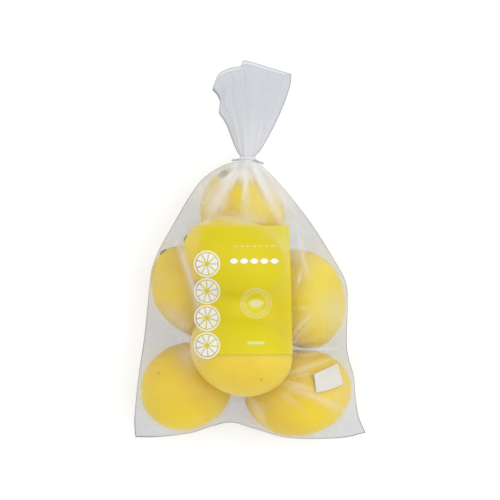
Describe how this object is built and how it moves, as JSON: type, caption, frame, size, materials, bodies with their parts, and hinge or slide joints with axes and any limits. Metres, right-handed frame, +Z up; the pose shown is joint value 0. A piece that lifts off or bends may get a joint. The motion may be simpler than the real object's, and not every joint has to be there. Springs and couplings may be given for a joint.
{
  "type": "clear film bag of lemons",
  "caption": "Clear film bag of whole lemons lying on its back, with a tied neck, a fanned open mouth, a printed front panel and a small blank label.",
  "frame": {"origin": "middle of the bag's outline on the plane it lies on", "axes": "+Y from the bottom seam towards the tied neck and the mouth, +Z up out of the printed front, +X to the right of the printed front"},
  "size_m": [0.1575, 0.2571, 0.1078],
  "materials": {
    "clear_film": "thin, slightly milky film",
    "tie_plastic": "translucent white",
    "label_paper": "matte, off-white",
    "lemon_peel": "waxy peel with fine pores",
    "print_ink": "lime and white ink on film"
  },
  "bodies": {
    "root": {"bag": "clear_film", "neck_tie": "tie_plastic", "blank_label": "label_paper"}
  },
  "joints": []
}
